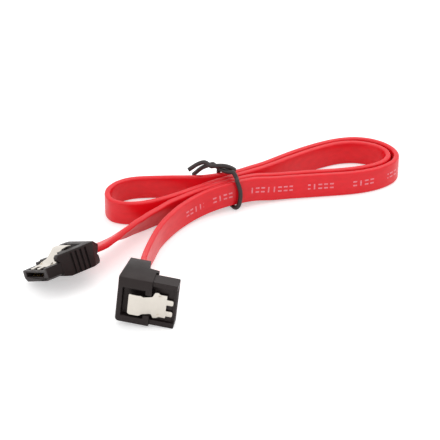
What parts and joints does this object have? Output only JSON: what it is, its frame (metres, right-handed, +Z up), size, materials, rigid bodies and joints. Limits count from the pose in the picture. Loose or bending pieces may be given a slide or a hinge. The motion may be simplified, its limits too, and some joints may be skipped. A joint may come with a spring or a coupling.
{
  "type": "sata data cable",
  "caption": "Flat red data cable folded into a bundle with a wire tie, with a straight and an angled black latching plug.",
  "frame": {"origin": "centre of the bundle's outline on the surface it lies on", "axes": "+X along the bundle to the loop's closed right end, +Y away from the plugs, +Z up"},
  "size_m": [0.1161, 0.103, 0.0164],
  "materials": {
    "jacket": "satin",
    "plastic": "fine satin",
    "spring_steel": "plain rolled",
    "gilt": "plated",
    "tie_coat": "satin"
  },
  "bodies": {
    "bundle": {"cable": "jacket", "twist_tie": "tie_coat", "straight_housing": "plastic", "straight_overmould": "plastic", "straight_contact_1": "gilt", "straight_contact_2": "gilt", "straight_contact_3": "gilt", "straight_contact_4": "gilt", "straight_contact_5": "gilt", "straight_contact_6": "gilt", "straight_contact_7": "gilt", "angled_housing": "plastic", "angled_overmould": "plastic", "angled_contact_1": "gilt", "angled_contact_2": "gilt", "angled_contact_3": "gilt", "angled_contact_4": "gilt", "angled_contact_5": "gilt", "angled_contact_6": "gilt", "angled_contact_7": "gilt"},
    "straight_latch": {"straight_latch": "spring_steel"},
    "angled_latch": {"angled_latch": "spring_steel"}
  },
  "joints": [
    {"name": "straight_latch_press", "type": "hinge", "parent": "bundle", "child": "straight_latch", "pos_m": [-0.05318, -0.03017, 0.00673], "axis": [-0.5826, 0.6943, -0.4226], "range_deg": [0, 4.5], "stiffness_Nm_per_rad": 0.3},
    {"name": "angled_latch_press", "type": "hinge", "parent": "bundle", "child": "angled_latch", "pos_m": [-0.01367, -0.05059, 0.0066], "axis": [-0.1168, 0.0193, -0.993], "range_deg": [0, 4.5], "stiffness_Nm_per_rad": 0.3}
  ]
}
